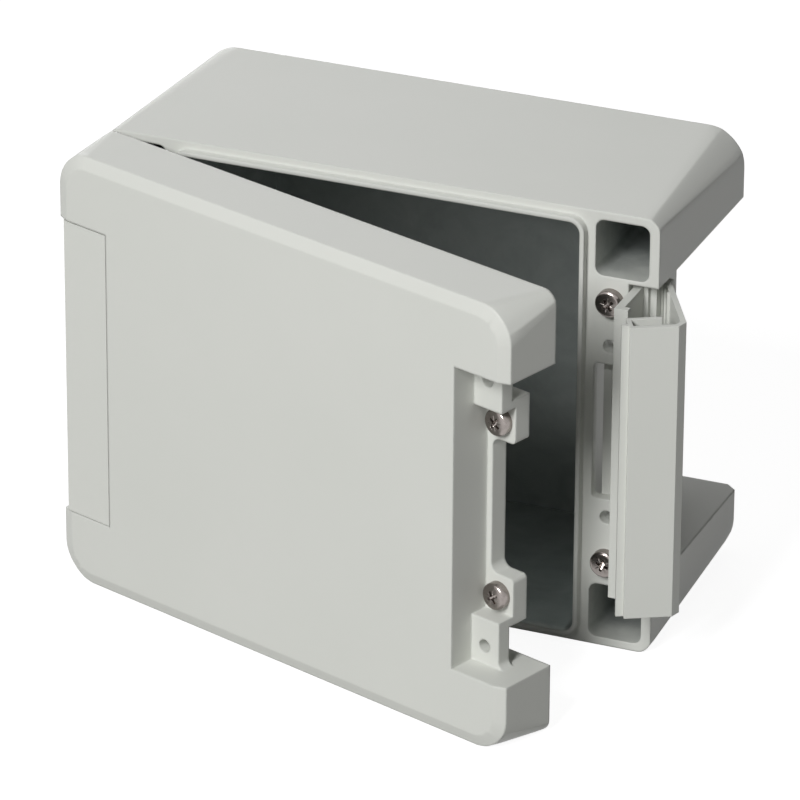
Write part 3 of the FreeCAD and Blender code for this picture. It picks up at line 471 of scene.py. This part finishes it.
# Pocket faces take the misted metal; its darkening with depth is partly painted shade.
pocket_mist_and_shade_faces = all_corners(base_mesh, in_pocket) & (deep > OFF_WALL)
base_mesh.polygons.foreach_set("material_index",
                               (bare_faces * 1 + pocket_mist_and_shade_faces * 2).astype(np.int32))
as_skin(base_mesh, "base_shell", [shell_paint, cavity_metal, pocket_metal_and_painted_shade], "base",
        chamfer_lines(base_mesh, points, BASE_DEPTH, 1, BASE_CHAMFER))


# Lid: cast as the base is and powder coated all over. It hangs on its pin at the left
# end and stands open.
LID_OPEN, LID_PIVOT = -19.1, (-100.3, -0.1)
LID_DEPTH, LID_RIM, LID_CHAMFER = 24.0, 4.8, (4.35, 1.7)

lid_mesh = merged_copy("lid_shell", broad_chamfers(
    LID_DEPTH, -1, LID_RIM, LID_CHAMFER, LID_OPEN, LID_PIVOT))
points = shut_box_points(lid_mesh, LID_OPEN, LID_PIVOT)
as_skin(lid_mesh, "lid_shell", [shell_paint], "lid",
        chamfer_lines(lid_mesh, points, LID_DEPTH, -1, LID_CHAMFER))


# Rails, strips and hinge leaves: extruded aluminium, sawn to length, drilled and
# powder coated with the shells. The die leaves faint lines along their length.
STRIP_PAINT, STRIP_SHADE = "#D9DAD5", "#D3D5CF"
STRIP_EDGE, STRIP_PEEL_MM, DIE_LINES = 0.3, 0.7, (1.0, 1.0, 0.03)

strip_paint = powder_coat("powder_coat_on_extrusion", STRIP_PAINT, STRIP_SHADE, STRIP_EDGE,
                          STRIP_PEEL_MM, DIE_LINES)
for name, body in (("latch_rail", "base"), ("latch_strip", "strip"),
                   ("hinge_base_leaf", "base"), ("hinge_lid_leaf", "lid")):
    as_skin(merged_copy(name), name, [strip_paint], body)


# Cover strip of the hinge end: extruded, coated and fixed on the lid. It fills the
# lid's cut to a hair's breadth and lies flush with its face.
COVER_SECTION = [(77.85, -20.2), (77.85, -23.92), (97.0, -23.92), (99.9, -21.0), (99.9, -2.9),
                 (98.0, -2.9), (98.0, -20.1), (96.2, -21.9), (82.2, -21.9), (82.2, -17.2),
                 (92.5, -17.2), (92.5, -15.6), (80.6, -15.6), (80.6, -20.2)]
COVER_HALF = 54.3


def placed(points_mm, swing=0.0, pivot=(0.0, 0.0)):
    """Millimetres of the shut box to metres of the part, swung about the pivot."""
    c, s = math.cos(math.radians(swing)), math.sin(math.radians(swing))
    x, y = points_mm[..., 0] - pivot[0], points_mm[..., 1] - pivot[1]
    turned = np.stack([pivot[0] + c * x - s * y, pivot[1] + s * x + c * y,
                       points_mm[..., 2]], axis=-1)
    return (turned + BASE_MIDDLE) / MM


section = np.array(COVER_SECTION) * (-1.0, 1.0)
count = len(section)
cover_points = np.array([(x, y, end) for end in (-COVER_HALF, COVER_HALF) for x, y in section])
k = np.arange(count)
sides = np.stack([k, np.roll(k, -1), np.roll(k, -1) + count, k + count], axis=1)
cover_mesh = bpy.data.meshes.new("hinge_cover_skin")
cover_mesh.from_pydata(placed(cover_points, LID_OPEN, LID_PIVOT).tolist(), [],
                       sides[:, ::-1].tolist() + [k.tolist(), (k[::-1] + count).tolist()])
smooth(cover_mesh)
as_skin(cover_mesh, "hinge_strip", [strip_paint], "lid")


# Seal: a cord of closed-cell rubber laid round the lid's groove. Its section is a low
# dome, which the base's rim presses flat when the lid shuts.
SEAL_X, SEAL_Z, SEAL_CORNER, CORNER_STEPS = 73.7, 76.45, 4.4, 14
SEAL_HALF, SEAL_FOOT, SEAL_CROWN, SEAL_SIDES, SEAL_SQUARE = 1.65, -5.6, -3.34, 24, 0.6
RUBBER, RUBBER_DUST, RUBBER_ROUGH = "#232425", "#323435", 0.82
CELL_MM, CELL_HIGH_MM, CELL_SHOWS = 0.8, 0.2, 0.35


def rounded_path(half_x, half_z, corner, steps):
    """Points round a rectangle with rounded corners and their outward directions: the
    corner's centre plus the radius times (cos, sin) of the angle, quarter by quarter."""
    quarter = np.linspace(0.0, math.pi / 2, steps)
    angle = (np.arange(4)[:, None] * math.pi / 2 + quarter).ravel()
    side_x = np.repeat([1, -1, -1, 1], steps) * (half_x - corner)
    side_z = np.repeat([1, 1, -1, -1], steps) * (half_z - corner)
    out = np.stack([np.cos(angle), np.sin(angle)], axis=1)
    return np.stack([side_x, side_z], axis=1) + out * corner, out


def grid_faces(rows, columns, ring):
    """Quads of a grid joined across its columns and, as a ring, across its rows too."""
    row = np.arange(rows if ring else rows - 1)[:, None]
    a = row * columns + np.arange(columns)
    b = (row + 1) % rows * columns + np.arange(columns)
    step = np.roll(np.arange(columns), -1) - np.arange(columns)
    return np.stack([a, b, b + step, a + step], axis=-1).reshape(-1, 4)


path, out = rounded_path(SEAL_X, SEAL_Z, SEAL_CORNER, CORNER_STEPS)
lap = np.linspace(0, 2 * math.pi, SEAL_SIDES, endpoint=False)
side = np.sign(np.cos(lap)) * np.abs(np.cos(lap)) ** SEAL_SQUARE * SEAL_HALF
lift = (SEAL_FOOT + SEAL_CROWN) / 2 + np.sin(lap) * (SEAL_CROWN - SEAL_FOOT) / 2
seal_points = np.stack([path[:, None, 0] + out[:, None, 0] * side,
                        np.broadcast_to(lift, (len(path), SEAL_SIDES)),
                        path[:, None, 1] + out[:, None, 1] * side], axis=-1)
seal_mesh = bpy.data.meshes.new("seal_cord")
seal_mesh.from_pydata(placed(seal_points, LID_OPEN, LID_PIVOT).reshape(-1, 3).tolist(), [],
                      grid_faces(len(path), SEAL_SIDES, True)[:, ::-1].tolist())
smooth(seal_mesh)

# The rubber is matt, near black and finely pitted, with dust in its pits.
seal_rubber, shader = new_material("epdm_cellular_rubber")
place = add(seal_rubber, "ShaderNodeTexCoord").outputs["Object"]
cells = add(seal_rubber, "ShaderNodeTexNoise", links=[("Vector", place)],
            Scale=MM / CELL_MM, Detail=3.0)
pits = add(seal_rubber, "ShaderNodeBump", links=[("Height", cells.outputs["Fac"])],
           Strength=CELL_SHOWS, Distance=CELL_HIGH_MM / MM)
dusty = add(seal_rubber, "ShaderNodeMix", links=[("Factor", cells.outputs["Fac"])],
            data_type="RGBA")
dusty.inputs[6].default_value, dusty.inputs[7].default_value = linear(RUBBER), linear(RUBBER_DUST)
seal_rubber.node_tree.links.new(dusty.outputs[2], shader.inputs["Base Color"])
seal_rubber.node_tree.links.new(pits.outputs[0], shader.inputs["Normal"])
shader.inputs["Roughness"].default_value = RUBBER_ROUGH
seal_mesh.materials.append(seal_rubber)
stand_in("seal_cord", seal_mesh, "lid_gasket", "lid")


# Screws: M5 pan heads in stainless steel, turned and cross-recessed, two through each
# rail or leaf and four that close the lid. The thread has its true pitch of 0.8 mm.
HEAD_R, HEAD_HIGH, CROWN_R, CROWN_DROP, CROWN_DOME = 4.75, 3.7, 3.2, 1.3, 0.18
SHANK_R, CREST_R, PITCH, NECK = 1.92, 2.32, 0.8, 0.3
FACE_RINGS, BEND_RINGS, PITCH_RINGS, EDGE_BREAK, STEP = 44, 9, 6, 0.12, 0.02
SLOT_HALF, SLOT_REACH, ARM_DEPTH, SLOT_STEEPNESS = 0.50, 2.3, 0.9, 6.0
PIT_DEPTH, PIT_R, PIT_WIDER = 2.2, 0.9, 0.35
MARK_HALF, MARK_FROM, MARK_TO, MARK_DEPTH = 0.16, 0.75, 1.9, 0.12
THREAD_START, FADE_IN, FADE_OUT, TIP_TAPER, TIP_LONG, TIP_GAP = 0.5, 0.8, 0.9, 0.25, 0.5, 0.05
HEAD_CREASE = 42.0
LIP_Y, PAD_Y, LEAF_Y = 0.0, -7.0, -9.0  # where the heads bear
SCREW_LINE, RAIL_Z, CLOSING_Z = 83.3, 48.1, 31.6
RAIL_SCREW, CLOSING_SCREW, LEAF_SCREW = 9.0, 12.0, 8.4  # lengths below the head
END_TWIST, LID_TWIST = 11.0, 30.0  # no two recesses are turned alike
STEEL, STEEL_SHADE, STEEL_ROUGH, SMEAR_MM = "#A8A19D", "#827B77", (0.16, 0.30), 1.6

# The steel is bright and slightly brown, smeared with oil, so its gloss varies.
steel, shader = new_material("stainless_steel_turned")
place = add(steel, "ShaderNodeTexCoord").outputs["Object"]
smear = add(steel, "ShaderNodeTexNoise", links=[("Vector", place)],
            Scale=MM / SMEAR_MM, Detail=4.0, Roughness=0.6)
tone = add(steel, "ShaderNodeMix", links=[("Factor", smear.outputs["Fac"])], data_type="RGBA")
tone.inputs[6].default_value, tone.inputs[7].default_value = linear(STEEL), linear(STEEL_SHADE)
polish = add(steel, "ShaderNodeMapRange", links=[("Value", smear.outputs["Fac"])],
             To_Min=STEEL_ROUGH[0], To_Max=STEEL_ROUGH[1])
steel.node_tree.links.new(tone.outputs[2], shader.inputs["Base Color"])
steel.node_tree.links.new(polish.outputs[0], shader.inputs["Roughness"])
shader.inputs["Metallic"].default_value = 1.0


def pan_screw_points(length, twist, around=120):
    """Rings of the screw along y from the crown's middle to the tip. Crown: nearly flat,
    then a quarter ellipse to the side. Recess: inside the cross of two slots the depth
    grows with the distance from the slot's edge, and towards the middle; four fine marks
    stand between its arms. Thread: the radius follows a triangle wave of y / pitch minus
    the turn."""
    flat = np.linspace(0.0, 1.0, FACE_RINGS)[1:] * CROWN_R
    bend = np.linspace(0.0, math.pi / 2, BEND_RINGS)[1:]
    thread = np.arange(0.0, length - TIP_GAP, PITCH / PITCH_RINGS)
    ring_r = np.concatenate([flat, CROWN_R + (HEAD_R - CROWN_R) * np.sin(bend),
                             [HEAD_R, HEAD_R - EDGE_BREAK, SHANK_R + NECK],
                             np.full(len(thread), SHANK_R)])
    ring_y = np.concatenate([
        -HEAD_HIGH + CROWN_DOME * (flat / CROWN_R) ** 2,
        -HEAD_HIGH + CROWN_DOME + (CROWN_DROP - CROWN_DOME) * (1 - np.cos(bend)),
        [-EDGE_BREAK, 0.0, 0.0], thread + STEP])
    angle = np.linspace(0, 2 * math.pi, around, endpoint=False)
    r = np.repeat(ring_r[:, None], around, axis=1)
    along = np.repeat(ring_y[:, None], around, axis=1)

    head = len(flat)
    a = np.abs(r[:head] * np.cos(angle - twist))
    b = np.abs(r[:head] * np.sin(angle - twist))
    near, far = np.minimum(a, b), np.maximum(a, b)
    inside = np.minimum(SLOT_HALF - near + np.clip(PIT_R - far, 0, PIT_WIDER), SLOT_REACH - far)
    floor_y = ARM_DEPTH + (PIT_DEPTH - ARM_DEPTH) * np.clip(1 - far / SLOT_REACH, 0, 1)
    along[:head] += np.minimum(np.clip(inside, 0, None) * SLOT_STEEPNESS, floor_y)
    mark = np.clip(1 - np.abs(a - b) / MARK_HALF, 0, 1) * (far > MARK_FROM) * (far < MARK_TO)
    along[:head] += mark * MARK_DEPTH

    tail = slice(-len(thread), None)
    to_tip = length - along[tail]
    turns = (along[tail] / PITCH - angle / (2 * math.pi)) % 1.0
    wave = 1 - np.abs(2 * turns - 1)
    fade = (np.clip((along[tail] - THREAD_START) / FADE_IN, 0, 1)
            * np.clip(to_tip / FADE_OUT, 0, 1))
    taper = TIP_TAPER * (1 - np.clip(to_tip / TIP_LONG, 0, 1))
    r[tail] = SHANK_R - taper + (CREST_R - SHANK_R) * wave * fade
    return np.stack([r * np.cos(angle), along, r * np.sin(angle)], axis=-1)


def set_screw(name, seat, length, body, twist, swing=0.0, pivot=(0.0, 0.0)):
    """Makes one screw in place of its node, its head's underside at seat."""
    rings = pan_screw_points(length, math.radians(twist))
    rows, around = rings.shape[:2]
    tips = np.array([[0.0, -HEAD_HIGH + PIT_DEPTH, 0.0], [0.0, length, 0.0]])
    every = placed(np.concatenate([rings.reshape(-1, 3), tips]) + np.array(seat), swing, pivot)
    k = np.arange(around)
    first, last = rows * around, rows * around + 1
    crown_fan = np.stack([np.full(around, first), k, np.roll(k, -1)], axis=1)
    tip_fan = np.stack([np.full(around, last), np.roll(k, -1) + (rows - 1) * around,
                        k + (rows - 1) * around], axis=1)
    quads = grid_faces(rows, around, False)
    mesh = bpy.data.meshes.new(name + "_turned")
    mesh.from_pydata(every.tolist(), [], quads.tolist() + crown_fan.tolist() + tip_fan.tolist())
    smooth(mesh)
    mesh.set_sharp_from_angle(angle=math.radians(HEAD_CREASE))
    mesh.materials.append(steel)
    stand_in(name + "_turned", mesh, name, body)


for end, side in (("right", 1), ("left", -1)):
    for row, up, twist in (("top", 1, 24.0), ("bottom", -1, 62.0)):
        set_screw("base_screw_%s_%s" % (end, row), (side * SCREW_LINE, LIP_Y, up * RAIL_Z),
                  RAIL_SCREW, "base", twist + END_TWIST * side)
        seat_y, length = (PAD_Y, CLOSING_SCREW) if side > 0 else (LEAF_Y, LEAF_SCREW)
        set_screw("lid_screw_%s_%s" % (end, row), (side * SCREW_LINE, seat_y, up * CLOSING_Z),
                  length, "lid", twist + LID_TWIST * up, LID_OPEN, LID_PIVOT)


# Hinge pin: ground stainless steel, pressed into the outer and middle knuckles.
for pin_slot in node["hinge_pin"].material_slots:
    pin_slot.material = steel
